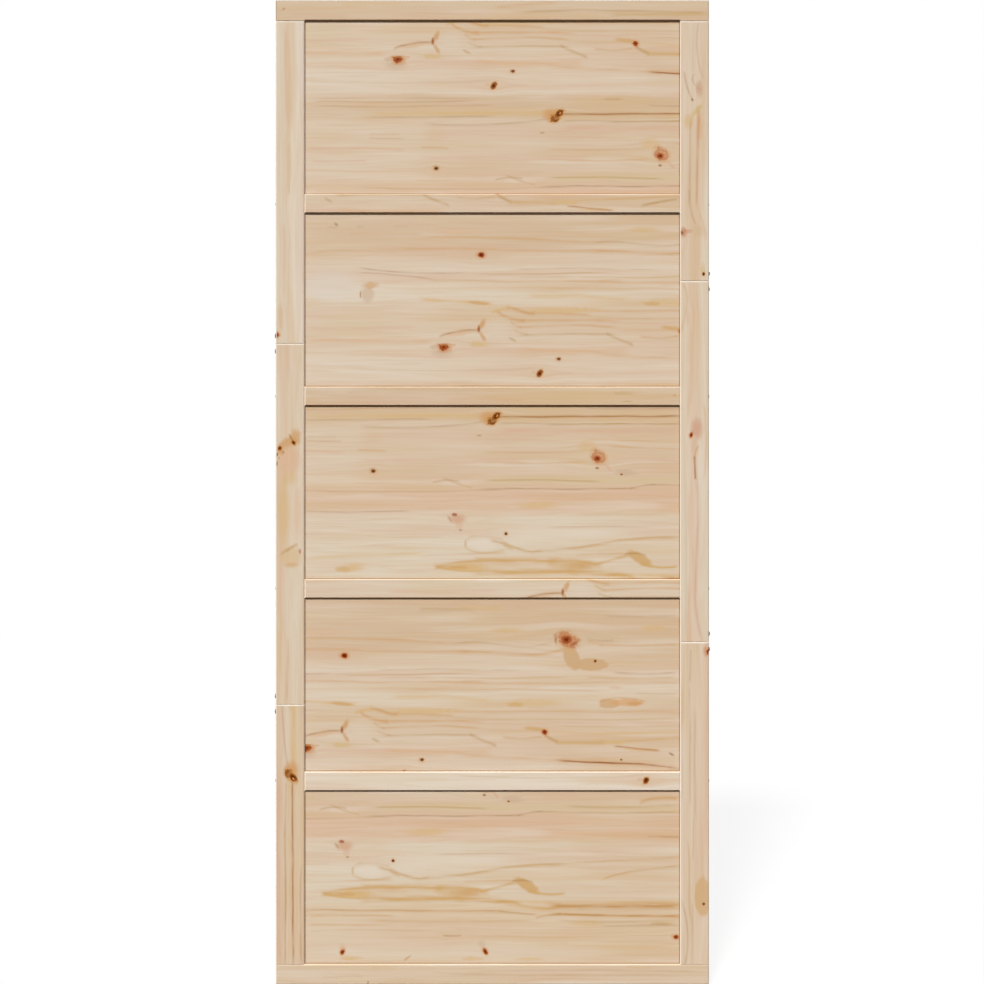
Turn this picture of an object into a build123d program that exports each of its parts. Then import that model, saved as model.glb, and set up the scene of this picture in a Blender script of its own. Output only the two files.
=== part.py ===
from build123d import *
import os

# The leaf of a pine sliding door: a grooved frame of stiles and rails round a stack of flat panels.
# Millimetres. X runs across the leaf, Y through it with the front at -Y, Z up.
# The origin is the middle of the top edge.

# The leaf
LEAF_WIDTH = 900.0
LEAF_HEIGHT = 2045.0
FRAME_THICKNESS = 18.0
ARRIS = 2.0  # 45 degree easing on the edges of every frame board

# Frame boards
STILE_WIDTH = 60.0
END_RAIL_HEIGHT = 42.5
CROSS_RAIL_HEIGHT = 40.0
STILE_LONG_LENGTH = 670.0
STILE_MIDDLE_LENGTH = 750.0

# Panels and the grooves they sit in
PANEL_COUNT = 5
PANEL_THICKNESS = 10.0
GROOVE_DEPTH = 10.0
GROOVE_PLAY = 0.2  # on each face of a panel or a tongue
GROOVE_ROOM = 1.0  # left at the bottom of a groove for the wood to move

# Joining plates, let in flush across the butt joints of the stiles
PLATE_LENGTH = 62.0
PLATE_WIDTH = 12.0
PLATE_THICKNESS = 2.0
PLATE_PLAY = 0.15  # between a plate's rim and its pocket
PLATE_HOLE_DIAMETER = 4.5
PLATE_HOLE_SPACING = 32.0

# What follows from them
groove_width = PANEL_THICKNESS + 2 * GROOVE_PLAY
tongue_length = GROOVE_DEPTH - GROOVE_ROOM
clear_width = LEAF_WIDTH - 2 * STILE_WIDTH
clear_height = LEAF_HEIGHT - 2 * END_RAIL_HEIGHT
opening_height = (clear_height - (PANEL_COUNT - 1) * CROSS_RAIL_HEIGHT) / PANEL_COUNT
rail_pitch = opening_height + CROSS_RAIL_HEIGHT
stile_short_length = clear_height - STILE_LONG_LENGTH - STILE_MIDDLE_LENGTH
inner_edge = clear_width / 2
outer_edge = LEAF_WIDTH / 2
stile_axis = outer_edge - STILE_WIDTH / 2

os.makedirs("parts", exist_ok=True)


def face_plane(x, z):
    """The upright plane in the middle of the leaf's thickness, seen from the front, at x and z."""
    return Plane(origin=(x, 0, z), x_dir=(1, 0, 0), z_dir=(0, -1, 0))


def planed_board(x, z, width, height, square_below=False):
    """A board of the frame's thickness, centred on x and z, eased round its front and back.

    A board that is square below keeps sharp edges along its lower end or side.
    """
    with BuildSketch(face_plane(x, z)) as outline:
        Rectangle(width, height)
    extrude(outline.sketch, amount=FRAME_THICKNESS / 2, both=True)
    rims = faces(Select.ALL).filter_by(Axis.Y).edges()
    lower_rims = rims.filter_by(Axis.X).group_by(Axis.Z)[0]
    chamfer(rims - lower_rims if square_below else rims, ARRIS)


def stopped_arris(z, run):
    """Eases the lower edges of a board at z, front and back, over a run in the middle of the leaf."""
    for face in (-1, 1):
        surface = face * FRAME_THICKNESS / 2
        with BuildSketch(Plane.YZ.offset(-run / 2)) as wedge:
            Polygon((surface, z), (surface, z + ARRIS), (surface - face * ARRIS, z), align=None)
        extrude(wedge.sketch, amount=run, mode=Mode.SUBTRACT)


def slab(x, z, width, height, thickness, mode):
    """A plain block centred on x and z in the middle of the leaf: a tongue, or the run of a groove."""
    with BuildSketch(face_plane(x, z)) as outline:
        Rectangle(width, height)
    extrude(outline.sketch, amount=thickness / 2, both=True, mode=mode)


def edge_plane(side, z):
    """The plane of the leaf's outer edge on one side, facing outwards, at z."""
    return Plane(origin=(side * outer_edge, 0, z), x_dir=(0, 0, 1), z_dir=(side, 0, 0))


def plate_blank(side, z, play, mode):
    """A round-ended plate let into the outer edge, centred on z, or with play round it, its pocket."""
    with BuildSketch(edge_plane(side, z)) as outline:
        SlotOverall(PLATE_LENGTH + 2 * play, PLATE_WIDTH + 2 * play)
    extrude(outline.sketch, amount=-PLATE_THICKNESS, mode=mode)


# Top and bottom rails, the full width of the leaf, grooved along the inner edge from end to end.
# The top rail's lower edge is eased between the stiles only and sits square on their shoulders.
for name, side in (("top_rail", 1), ("bottom_rail", -1)):
    rail_z = -LEAF_HEIGHT / 2 + side * (LEAF_HEIGHT - END_RAIL_HEIGHT) / 2
    groove_z = rail_z - side * (END_RAIL_HEIGHT - GROOVE_DEPTH) / 2
    with BuildPart() as end_rail:
        planed_board(0, rail_z, LEAF_WIDTH, END_RAIL_HEIGHT, square_below=side > 0)
        if side > 0:
            stopped_arris(rail_z - END_RAIL_HEIGHT / 2, clear_width)
        slab(0, groove_z, LEAF_WIDTH, GROOVE_DEPTH, groove_width, Mode.SUBTRACT)
    end_rail.part.label = name
    export_step(end_rail.part, f"parts/{name}.step")


# Cross rails between the stiles: a groove above and below, a tongue at each end
for index in range(1, PANEL_COUNT):
    rail_z = -END_RAIL_HEIGHT - index * rail_pitch + CROSS_RAIL_HEIGHT / 2
    groove_rise = (CROSS_RAIL_HEIGHT - GROOVE_DEPTH) / 2
    tongue_height = CROSS_RAIL_HEIGHT - 2 * GROOVE_DEPTH
    tongue_span = clear_width + 2 * tongue_length
    with BuildPart() as cross_rail:
        planed_board(0, rail_z, clear_width, CROSS_RAIL_HEIGHT)
        slab(0, rail_z + groove_rise, clear_width, GROOVE_DEPTH, groove_width, Mode.SUBTRACT)
        slab(0, rail_z - groove_rise, clear_width, GROOVE_DEPTH, groove_width, Mode.SUBTRACT)
        slab(0, rail_z, tongue_span, tongue_height, PANEL_THICKNESS, Mode.ADD)
    name = f"cross_rail_{index}"
    cross_rail.part.label = name
    export_step(cross_rail.part, f"parts/{name}.step")


# Panels, held on all four edges by the grooves
for index in range(PANEL_COUNT):
    panel_z = -END_RAIL_HEIGHT - opening_height / 2 - index * rail_pitch
    with BuildPart() as panel:
        with BuildSketch(face_plane(0, panel_z)):
            Rectangle(clear_width + 2 * tongue_length, opening_height + 2 * tongue_length)
        extrude(amount=PANEL_THICKNESS / 2, both=True)
    name = f"panel_{index + 1}"
    panel.part.label = name
    export_step(panel.part, f"parts/{name}.step")


# Stiles, each of three butted lengths, square at the foot and eased at the head.
# The right one has the left one's lengths in the opposite order.
left_lengths = (STILE_LONG_LENGTH, STILE_MIDDLE_LENGTH, stile_short_length)
right_lengths = left_lengths[::-1]
places = ("upper", "middle", "lower")
plate_places = ("upper", "lower")

for side_name, side, lengths in (("left", -1, left_lengths), ("right", 1, right_lengths)):
    joint_zs = (
        -END_RAIL_HEIGHT - lengths[0],
        -END_RAIL_HEIGHT - lengths[0] - lengths[1],
    )
    tops = (-END_RAIL_HEIGHT, *joint_zs)
    stile_x = side * stile_axis
    groove_x = side * (inner_edge + GROOVE_DEPTH / 2)
    tongue_x = side * (inner_edge + (STILE_WIDTH + GROOVE_DEPTH) / 2)
    tongue_width = STILE_WIDTH - GROOVE_DEPTH

    for place, top, length in zip(places, tops, lengths):
        middle_z = top - length / 2
        with BuildPart() as stile:
            planed_board(stile_x, middle_z, STILE_WIDTH, length, square_below=True)
            slab(groove_x, middle_z, GROOVE_DEPTH, length, groove_width, Mode.SUBTRACT)
            if place == "upper":
                tip_z = top + tongue_length / 2
                slab(tongue_x, tip_z, tongue_width, tongue_length, PANEL_THICKNESS, Mode.ADD)
            if place == "lower":
                tip_z = top - length - tongue_length / 2
                slab(tongue_x, tip_z, tongue_width, tongue_length, PANEL_THICKNESS, Mode.ADD)
            for joint_z in joint_zs:
                if abs(joint_z - middle_z) < (length + PLATE_LENGTH) / 2:
                    plate_blank(side, joint_z, PLATE_PLAY, Mode.SUBTRACT)
        name = f"{side_name}_stile_{place}"
        stile.part.label = name
        export_step(stile.part, f"parts/{name}.step")

    for place, joint_z in zip(plate_places, joint_zs):
        with BuildPart() as plate:
            plate_blank(side, joint_z, 0, Mode.ADD)
            with BuildSketch(edge_plane(side, joint_z)):
                with GridLocations(PLATE_HOLE_SPACING, 0, 2, 1):
                    Circle(PLATE_HOLE_DIAMETER / 2)
            extrude(amount=-PLATE_THICKNESS, mode=Mode.SUBTRACT)
        name = f"joining_plate_{side_name}_{place}"
        plate.part.label = name
        export_step(plate.part, f"parts/{name}.step")
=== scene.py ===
import math

import bmesh
import bpy
import numpy as np
from mathutils import Matrix, Vector


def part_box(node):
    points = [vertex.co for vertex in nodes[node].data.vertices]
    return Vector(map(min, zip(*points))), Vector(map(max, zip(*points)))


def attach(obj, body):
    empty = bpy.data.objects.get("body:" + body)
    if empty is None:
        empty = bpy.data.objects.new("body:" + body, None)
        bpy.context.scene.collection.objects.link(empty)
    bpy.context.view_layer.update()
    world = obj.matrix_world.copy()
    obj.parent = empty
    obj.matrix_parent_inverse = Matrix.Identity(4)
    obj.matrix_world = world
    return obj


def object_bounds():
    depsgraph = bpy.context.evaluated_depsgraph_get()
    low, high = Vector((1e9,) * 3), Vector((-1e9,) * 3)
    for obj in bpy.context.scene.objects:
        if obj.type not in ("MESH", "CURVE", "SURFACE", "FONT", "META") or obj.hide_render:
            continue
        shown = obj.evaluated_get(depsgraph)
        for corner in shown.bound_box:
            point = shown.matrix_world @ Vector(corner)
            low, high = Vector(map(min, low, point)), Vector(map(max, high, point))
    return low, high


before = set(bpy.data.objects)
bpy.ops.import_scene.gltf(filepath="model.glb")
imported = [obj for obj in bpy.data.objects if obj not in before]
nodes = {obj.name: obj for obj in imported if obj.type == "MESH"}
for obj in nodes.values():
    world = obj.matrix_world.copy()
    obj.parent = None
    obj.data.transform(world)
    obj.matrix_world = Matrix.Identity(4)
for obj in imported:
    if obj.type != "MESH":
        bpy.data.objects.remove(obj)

# The looks of the pine leaf: knotty figure on its boards, zinc plates and steel screws on its edges,
# studio and camera. Objects are in metres in the leaf's frame. The pine's shaders work in millimetres.

cad_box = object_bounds()
leaf_low, leaf_high = cad_box
MM = 0.001
TO_MM = 1000.0


def srgb(red, green, blue):
    """A colour from its screen values, 0 to 255, as the linear RGBA that a socket takes."""
    def linear(value):
        part = value / 255
        return part / 12.92 if part <= 0.04045 else ((part + 0.055) / 1.055) ** 2.4
    return (linear(red), linear(green), linear(blue), 1.0)


def grey(value):
    return (value, value, value, 1.0)


# Tints of pine
CREAM = srgb(220, 204, 181)
SHELL = srgb(219, 198, 174)
TAN = srgb(216, 193, 166)
WHEAT = srgb(211, 184, 153)
ROSE = srgb(218, 187, 159)
STRAW = srgb(213, 190, 152)
BISCUIT = srgb(219, 197, 168)
PALE = srgb(227, 214, 197)
ASH = srgb(219, 208, 194)
PEARL = srgb(222, 206, 190)
MILK = srgb(226, 211, 191)
BLUSH = srgb(213, 172, 144)
PEACH = srgb(215, 176, 138)
FAWN = srgb(202, 174, 147)
LILAC = srgb(194, 166, 146)
HONEY = srgb(213, 178, 124)
OCHRE = srgb(205, 163, 104)
AMBER = srgb(203, 152, 94)
TRAIL = srgb(206, 169, 127)
OLIVE = srgb(187, 149, 96)
DUN = srgb(172, 133, 96)
UMBER = srgb(158, 106, 52)
RESIN = srgb(188, 134, 64)
RUST = srgb(146, 76, 20)
LATEWOOD = srgb(202, 165, 118)
# The next three are painted light on arrises: a highlight, a darker shade on the top rail's, and shade on
# those that face down
ARRIS_HIGHLIGHT = srgb(246, 234, 218)
TOP_ARRIS_SHADE = srgb(172, 148, 122)
UNDER_SHADE = srgb(128, 78, 30)
MELLOW = srgb(213, 182, 142)
WHITE = grey(1.0)


class Bench:
    """Puts nodes into one node tree, in rows, and wires them."""

    ROW = 12
    STEP = (190, 240)

    def __init__(self, tree):
        self.tree = tree

    def place(self, kind, **settings):
        node = self.tree.nodes.new(kind)
        row, column = divmod(len(self.tree.nodes), self.ROW)
        node.location = (column * self.STEP[0], -row * self.STEP[1])
        for name, value in settings.items():
            setattr(node, name, value)
        return node

    def feed(self, socket, value):
        if isinstance(value, bpy.types.NodeSocket):
            self.tree.links.new(value, socket)
        else:
            socket.default_value = value

    def fill(self, node, values):
        """Feeds a node's inputs by name, with _ for each space."""
        for name, value in values.items():
            self.feed(node.inputs[name.replace("_", " ")], value)

    def calc(self, operation, *values):
        node = self.place("ShaderNodeMath", operation=operation)
        for socket, value in zip(node.inputs, values):
            self.feed(socket, value)
        return node.outputs[0]

    def span(self, value, low, high, to_low=0.0, to_high=1.0):
        """A smooth step: to_low at low, to_high at high, held beyond them."""
        node = self.place("ShaderNodeMapRange", interpolation_type="SMOOTHSTEP")
        for socket, given in zip(node.inputs, (value, low, high, to_low, to_high)):
            self.feed(socket, given)
        return node.outputs[0]

    def blend(self, factor, first, second, mode="MIX"):
        node = self.place("ShaderNodeMix", data_type="RGBA", blend_type=mode)
        self.feed(node.inputs[0], factor)
        self.feed(node.inputs[6], first)
        self.feed(node.inputs[7], second)
        return node.outputs[2]

    def stain(self, colour, mask, strength, tint):
        """Lays a tint over a colour as far as the mask says, at up to the strength."""
        return self.blend(self.calc("MULTIPLY", mask, strength), colour, tint)

    def shade(self, colour, by):
        return self.blend(1.0, colour, by, "MULTIPLY")

    def vector(self, x, y, z):
        node = self.place("ShaderNodeCombineXYZ")
        for socket, value in zip(node.inputs, (x, y, z)):
            self.feed(socket, value)
        return node.outputs[0]

    def scaled(self, parts, scales):
        return self.vector(*(self.calc("MULTIPLY", part, scale) for part, scale in zip(parts, scales)))

    def split(self, vector):
        node = self.place("ShaderNodeSeparateXYZ")
        self.feed(node.inputs[0], vector)
        return node.outputs

    def object_place(self):
        """The object's own X, Y and Z in millimetres, and its normal."""
        coordinates = self.place("ShaderNodeTexCoord")
        parts = [self.calc("MULTIPLY", part, TO_MM) for part in self.split(coordinates.outputs["Object"])]
        return parts, coordinates.outputs["Normal"]

    def noise(self, vector, detail=2.0, roughness=0.5):
        node = self.place("ShaderNodeTexNoise")
        self.fill(node, dict(Vector=vector, Scale=1.0, Detail=detail, Roughness=roughness))
        return node.outputs[0]

    def grained(self, place, along, across, shift=0.0, detail=2.0, roughness=0.5):
        """Noise drawn out along the grain: its features are about along by across millimetres."""
        deep = self.calc("MULTIPLY", place["Depth"], 1 / across)
        where = self.vector(
            self.calc("MULTIPLY", place["Along"], 1 / along),
            self.calc("MULTIPLY", place["Across"], 1 / across),
            self.calc("ADD", deep, self.calc("ADD", place["Seed"], shift)),
        )
        return self.noise(where, detail, roughness)

    def group(self, tree, **values):
        node = self.place("ShaderNodeGroup", node_tree=tree)
        self.fill(node, values)
        return node.outputs[0]

    def bump(self, height, strength, distance):
        node = self.place("ShaderNodeBump")
        self.fill(node, dict(Strength=strength, Distance=distance, Height=height))
        return node.outputs[0]

    def seen(self):
        """1 for rays from the camera, straight or by way of metal or glass, and 0 for the light's own."""
        path = self.place("ShaderNodeLightPath").outputs
        seen = self.calc("MAXIMUM", path["Is Camera Ray"], path["Is Glossy Ray"])
        return self.calc("MAXIMUM", seen, path["Is Transmission Ray"])

    def finish(self, shader, out="ShaderNodeOutputMaterial"):
        self.feed(self.place(out).inputs["Surface"], shader.outputs[0])


def new_material(name):
    """A material with an empty node tree, and its bench."""
    material = bpy.data.materials.new(name)
    material.use_nodes = True
    material.node_tree.nodes.clear()
    return material, Bench(material.node_tree)


def node_group(name, inputs, outputs):
    """An empty shader node group with its sockets: a bench, the inputs by name, the outputs by name."""
    tree = bpy.data.node_groups.new(name, "ShaderNodeTree")
    kinds = {"value": "NodeSocketFloat", "colour": "NodeSocketColor", "vector": "NodeSocketVector"}
    for socket, kind in inputs.items():
        tree.interface.new_socket(name=socket, in_out="INPUT", socket_type=kinds[kind])
    for socket, kind in outputs.items():
        tree.interface.new_socket(name=socket, in_out="OUTPUT", socket_type=kinds[kind])
    bench = Bench(tree)
    entry = bench.place("NodeGroupInput")
    leave = bench.place("NodeGroupOutput")
    return bench, entry.outputs, leave.inputs


PLACE = {"Along": "value", "Across": "value", "Depth": "value", "Seed": "value"}
RING_TURNS = 6.0  # lines of late wood to one step of the figure
RING_DRIFT = 0.04  # and to one millimetre across the grain


def make_pine_grain():
    """Zones of colour, late wood, strands and fibres of a planed board, over the tone that it is given."""
    bench, take, give = node_group(
        "pine grain", {"Tone": "colour", **PLACE, "Fibre": "value"}, {"Colour": "colour"}
    )
    mellow = bench.span(bench.grained(take, along=360, across=24), 0.44, 0.72)
    flush = bench.span(bench.grained(take, along=420, across=38, shift=13), 0.46, 0.72)
    pallor = bench.span(bench.grained(take, along=360, across=19, shift=19), 0.44, 0.75)
    figure = bench.grained(take, along=460, across=16, shift=7)
    drift = bench.calc("MULTIPLY", take["Across"], RING_DRIFT)
    saw = bench.calc("FRACT", bench.calc("MULTIPLY_ADD", figure, RING_TURNS, drift))
    late = bench.calc("MULTIPLY", bench.span(saw, 0.3, 0.94), bench.span(saw, 1.0, 0.94))
    strand = bench.grained(take, along=240, across=4.5, shift=23)

    colour = bench.stain(take["Tone"], mellow, strength=0.5, tint=MELLOW)
    colour = bench.stain(colour, flush, strength=0.32, tint=BLUSH)
    colour = bench.stain(colour, pallor, strength=0.44, tint=PALE)
    colour = bench.stain(colour, late, strength=0.15, tint=LATEWOOD)
    colour = bench.stain(colour, bench.span(strand, 0.48, 0.24), strength=0.15, tint=LATEWOOD)
    colour = bench.stain(colour, bench.span(strand, 0.54, 0.78), strength=0.11, tint=PALE)
    fibres = bench.calc("MULTIPLY_ADD", take["Fibre"], 0.03, 0.985)
    bench.feed(give["Colour"], bench.shade(colour, fibres))
    return bench.tree


GRAIN_PUSH = 0.85  # share of its way off that the grain is drawn aside at a knot


def make_knot_bend():
    """Draws the grain aside round a knot: moves Across away from the knot's middle."""
    bench, take, give = node_group(
        "knot bend",
        {"Along": "value", "Across": "value", "Bent": "value", "Middle": "value", "Level": "value",
         "Reach": "value", "Breadth": "value"},
        {"Bent": "value"},
    )
    along = bench.calc("DIVIDE", bench.calc("SUBTRACT", take["Along"], take["Middle"]), take["Reach"])
    off = bench.calc("SUBTRACT", take["Across"], take["Level"])
    across = bench.calc("DIVIDE", off, take["Breadth"])
    far = bench.calc("MULTIPLY_ADD", along, along, bench.calc("MULTIPLY", across, across))
    pull = bench.calc("EXPONENT", bench.calc("MULTIPLY", far, -1.0))
    shift = bench.calc("MULTIPLY", bench.calc("MULTIPLY", off, pull), -GRAIN_PUSH)
    bench.feed(give["Bent"], bench.calc("ADD", take["Bent"], shift))
    return bench.tree


STREAK_GLOW = 2.3  # how much further a streak's glow reaches than its visible breadth
STREAK_TAPER = 1.18  # how much further a streak runs than its end points, fading out
STREAK_END = 2.2  # how suddenly it ends
STREAK_BELOW = 1.6  # how much further its glow reaches below than above


def make_pine_streak():
    """A line of late wood, resin or a check: sharp in the middle, with a glow that fades to each side."""
    bench, take, give = node_group(
        "pine streak",
        {"Colour": "colour", "Along": "value", "Across": "value", "Patch": "value", "Middle": "value",
         "Per Reach": "value", "Level": "value", "Rise": "value", "Bend": "value", "Twist": "value",
         "Per Above": "value", "Per Below": "value", "Tint": "colour", "Strength": "value"},
        {"Colour": "colour"},
    )
    run = bench.calc("MULTIPLY", bench.calc("SUBTRACT", take["Along"], take["Middle"]), take["Per Reach"])
    level = bench.calc("MULTIPLY_ADD", run, take["Twist"], take["Bend"])
    level = bench.calc("MULTIPLY_ADD", run, level, take["Rise"])
    level = bench.calc("MULTIPLY_ADD", run, level, take["Level"])
    off = bench.calc("SUBTRACT", take["Across"], level)
    over = bench.calc("MULTIPLY", off, take["Per Above"])
    under = bench.calc("MULTIPLY", off, take["Per Below"])
    near = bench.calc("SUBTRACT", 1.0, bench.calc("MAXIMUM", over, under))
    end = bench.calc("MULTIPLY_ADD", bench.calc("MULTIPLY", run, run), -STREAK_END, STREAK_END)
    core = bench.calc("MAXIMUM", bench.calc("MINIMUM", near, end), 0.0)
    mask = bench.calc("MULTIPLY", bench.calc("MULTIPLY", core, core), take["Strength"])
    bench.feed(give["Colour"], bench.stain(take["Colour"], mask, take["Patch"], take["Tint"]))
    return bench.tree


ELLIPSE = {"Along": "value", "Across": "value", "Middle": "value", "Level": "value", "Long Along": "value",
           "Long Across": "value", "Wide Along": "value", "Wide Across": "value"}


def ellipse_radius(bench, take):
    """Distance from a tilted ellipse's middle, 1 on its rim."""
    along = bench.calc("SUBTRACT", take["Along"], take["Middle"])
    across = bench.calc("SUBTRACT", take["Across"], take["Level"])
    long = bench.calc("MULTIPLY", across, take["Long Across"])
    long = bench.calc("MULTIPLY_ADD", along, take["Long Along"], long)
    wide = bench.calc("MULTIPLY", across, take["Wide Across"])
    wide = bench.calc("MULTIPLY_ADD", along, take["Wide Along"], wide)
    return bench.calc("SQRT", bench.calc("MULTIPLY_ADD", long, long, bench.calc("MULTIPLY", wide, wide)))


def make_pine_blot():
    """A patch of tint: a tilted ellipse with a soft, uneven rim."""
    bench, take, give = node_group(
        "pine blot",
        {"Colour": "colour", **ELLIPSE, "Ragged": "value", "Uneven": "value", "Soft": "value",
         "Tint": "colour", "Strength": "value"},
        {"Colour": "colour"},
    )
    radius = bench.calc("MULTIPLY_ADD", take["Ragged"], take["Uneven"], ellipse_radius(bench, take))
    mask = bench.span(radius, 1.0, bench.calc("SUBTRACT", 1.0, take["Soft"]))
    bench.feed(give["Colour"], bench.stain(take["Colour"], mask, take["Strength"], take["Tint"]))
    return bench.tree


KNOT_RAGGED = 1.15  # how uneven a knot's rim is
KNOT_BROKEN = 0.55  # and how much flecks break it up


def make_pine_knot():
    """A knot: halo in the wood round it, dark rim, flecked body and dark heart."""
    bench, take, give = node_group(
        "pine knot",
        {"Colour": "colour", **ELLIPSE, "Ragged": "value", "Speckle": "value",
         "Halo": "colour", "Halo Reach": "value", "Halo Strength": "value", "Body": "colour",
         "Body Strength": "value", "Heart": "colour", "Heart Size": "value", "Mottle": "value",
         "Rim": "value"},
        {"Colour": "colour"},
    )
    radius = bench.calc("MULTIPLY_ADD", take["Ragged"], KNOT_RAGGED, ellipse_radius(bench, take))
    radius = bench.calc("MULTIPLY_ADD", take["Speckle"], KNOT_BROKEN, radius)
    halo = bench.span(radius, take["Halo Reach"], 0.8)
    body = bench.calc("MULTIPLY", bench.span(radius, 1.15, 0.8), take["Body Strength"])
    rim = bench.calc("MULTIPLY", bench.span(radius, 0.62, 0.95), take["Rim"])
    heart_rim = bench.calc("MULTIPLY", take["Heart Size"], 1.4)
    heart = bench.span(radius, heart_rim, bench.calc("MULTIPLY", take["Heart Size"], 0.5))
    fleck = bench.calc("MULTIPLY", bench.span(take["Speckle"], 0.0, 0.16), take["Mottle"])
    dark = bench.calc("MAXIMUM", bench.calc("MAXIMUM", rim, heart), fleck)
    colour = bench.stain(take["Colour"], halo, take["Halo Strength"], take["Halo"])
    colour = bench.blend(body, colour, take["Body"])
    bench.feed(give["Colour"], bench.stain(colour, dark, body, take["Heart"]))
    return bench.tree


PITH_BELOW = 38.0  # how far below the zero across the grain the rings' pith lies
RINGS_PER_MM = 0.33


def make_end_grain():
    """Cut ends of a board: darker, with arcs of rings, where the face looks along the grain."""
    bench, take, give = node_group(
        "end grain",
        {"Colour": "colour", "Facing": "value", **PLACE},
        {"Colour": "colour"},
    )
    rise = bench.calc("ADD", take["Across"], PITH_BELOW)
    deep = bench.calc("MULTIPLY", take["Depth"], take["Depth"])
    radius = bench.calc("SQRT", bench.calc("MULTIPLY_ADD", rise, rise, deep))
    ragged = bench.noise(bench.vector(take["Across"], take["Depth"], take["Seed"]), roughness=0.6)
    saw = bench.calc("FRACT", bench.calc("MULTIPLY_ADD", radius, RINGS_PER_MM, ragged))
    late = bench.span(saw, 0.25, 0.95)
    colour = bench.blend(bench.calc("MULTIPLY_ADD", late, 0.45, 0.2), take["Colour"], AMBER)
    colour = bench.shade(colour, bench.calc("MULTIPLY_ADD", ragged, 0.25, 0.72))
    cut = bench.span(take["Facing"], 0.8, 0.95)
    bench.feed(give["Colour"], bench.blend(cut, take["Colour"], colour))
    return bench.tree


ARRIS_FROM = 0.5  # how far a normal leans a way before its arris counts as facing that way
ARRIS_FULL = 0.65  # and how far where it counts in full
# Strength of the painted highlight on arrises that face left, how uneven the painted light is, and strength
# of the painted shade on those that face down
LEFT_HIGHLIGHT = 0.85
ARRIS_UNEVEN = 0.4
SHADE_BELOW = 0.75


def make_eased_edge():
    """Arrises: painted light in the Shading colour where they face left and, as far as Upper says, up.
    Painted shade darkens those that face down.
    """
    bench, take, give = node_group(
        "eased edge",
        {"Colour": "colour", "Normal": "vector", "Ragged": "value", "Upper": "value", "Rubbed": "colour"},
        {"Colour": "colour"},
    )
    x, y, z = bench.split(take["Normal"])
    outward = bench.calc("ABSOLUTE", y)
    slant = bench.span(outward, 0.95, 0.8)
    left = bench.calc("MULTIPLY", bench.span(x, -ARRIS_FROM, -ARRIS_FULL), LEFT_HIGHLIGHT)
    up = bench.calc("MULTIPLY", bench.span(z, ARRIS_FROM, ARRIS_FULL), take["Upper"])
    front = bench.span(outward, 0.3, 0.5)
    # painted highlight on arrises that face left and up, in the Shading colour
    painted_arris = bench.calc("MULTIPLY", bench.calc("MULTIPLY", bench.calc("ADD", left, up), slant), front)
    uneven = bench.calc("MULTIPLY_ADD", take["Ragged"], ARRIS_UNEVEN, 1.0)
    colour = bench.stain(take["Colour"], painted_arris, uneven, take["Rubbed"])
    # painted shade on arrises that face down
    below = bench.calc("MULTIPLY", bench.span(z, -ARRIS_FROM, -ARRIS_FULL), front)
    bench.feed(give["Colour"], bench.stain(colour, below, strength=SHADE_BELOW, tint=UNDER_SHADE))
    return bench.tree


# painted shade in the quirk along the frame
QUIRK_SHADE = (0.46, 0.34, 0.22, 1.0)
QUIRK_NEAR = 0.4  # millimetres from the frame where the painted shade is darkest
QUIRK_FAR = 2.8  # and where the panel is clear of it


def make_rim_shade():
    """Darkens a panel in the quirk along the frame with painted shade. The halves are the opening's."""
    bench, take, give = node_group(
        "rim shade",
        {"Colour": "colour", "X": "value", "Z": "value", "Half Width": "value", "Half Height": "value"},
        {"Colour": "colour"},
    )
    beside = bench.calc("SUBTRACT", take["Half Width"], bench.calc("ABSOLUTE", take["X"]))
    upright = bench.calc("SUBTRACT", take["Half Height"], bench.calc("ABSOLUTE", take["Z"]))
    clear = bench.span(bench.calc("MINIMUM", beside, upright), QUIRK_NEAR, QUIRK_FAR)
    bench.feed(give["Colour"], bench.shade(take["Colour"], bench.blend(clear, QUIRK_SHADE, WHITE)))
    return bench.tree


pine_grain = make_pine_grain()
knot_bend = make_knot_bend()
pine_streak = make_pine_streak()
pine_blot = make_pine_blot()
pine_knot = make_pine_knot()
end_grain = make_end_grain()
eased_edge = make_eased_edge()
rim_shade = make_rim_shade()


# Marks of the figure. Places are (along the grain, across the grain) in millimetres.

RIM_UNEVEN = 12.0  # how uneven a blot's rim is, before it is divided by the blot's width
RIM_UNEVEN_MOST = 0.7  # and the most that it is on a narrow one


def line(*points, above=2.0, below=None, tint=OLIVE, strength=0.4):
    """A streak through two to four points, softer below than above unless it says otherwise."""
    runs = [point[0] for point in points]
    levels = [point[1] for point in points]
    middle = (min(runs) + max(runs)) / 2
    half = (max(runs) - min(runs)) / 2
    turns = [(run - middle) / half for run in runs]
    cubic = np.polyfit(turns, levels, len(points) - 1)
    level, rise, bend, twist = ([float(value) for value in cubic[::-1]] + [0.0, 0.0, 0.0])[:4]
    over = above * STREAK_GLOW
    under = STREAK_BELOW * over if below is None else below * STREAK_GLOW
    return {
        "kind": "line",
        "box": (min(runs), max(runs), min(levels) - under, max(levels) + over),
        "values": dict(
            Middle=middle, Per_Reach=1 / (half * STREAK_TAPER), Level=level, Rise=rise * STREAK_TAPER,
            Bend=bend * STREAK_TAPER ** 2, Twist=twist * STREAK_TAPER ** 3, Per_Above=1 / over,
            Per_Below=-1 / under, Tint=tint, Strength=strength,
        ),
    }


def ellipse_values(at, long, wide, tilt):
    cosine, sine = math.cos(math.radians(tilt)), math.sin(math.radians(tilt))
    return dict(
        Middle=at[0], Level=at[1], Long_Along=2 * cosine / long, Long_Across=2 * sine / long,
        Wide_Along=-2 * sine / wide, Wide_Across=2 * cosine / wide,
    )


def box_round(at, size):
    return (at[0] - size / 2, at[0] + size / 2, at[1] - size / 2, at[1] + size / 2)


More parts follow.
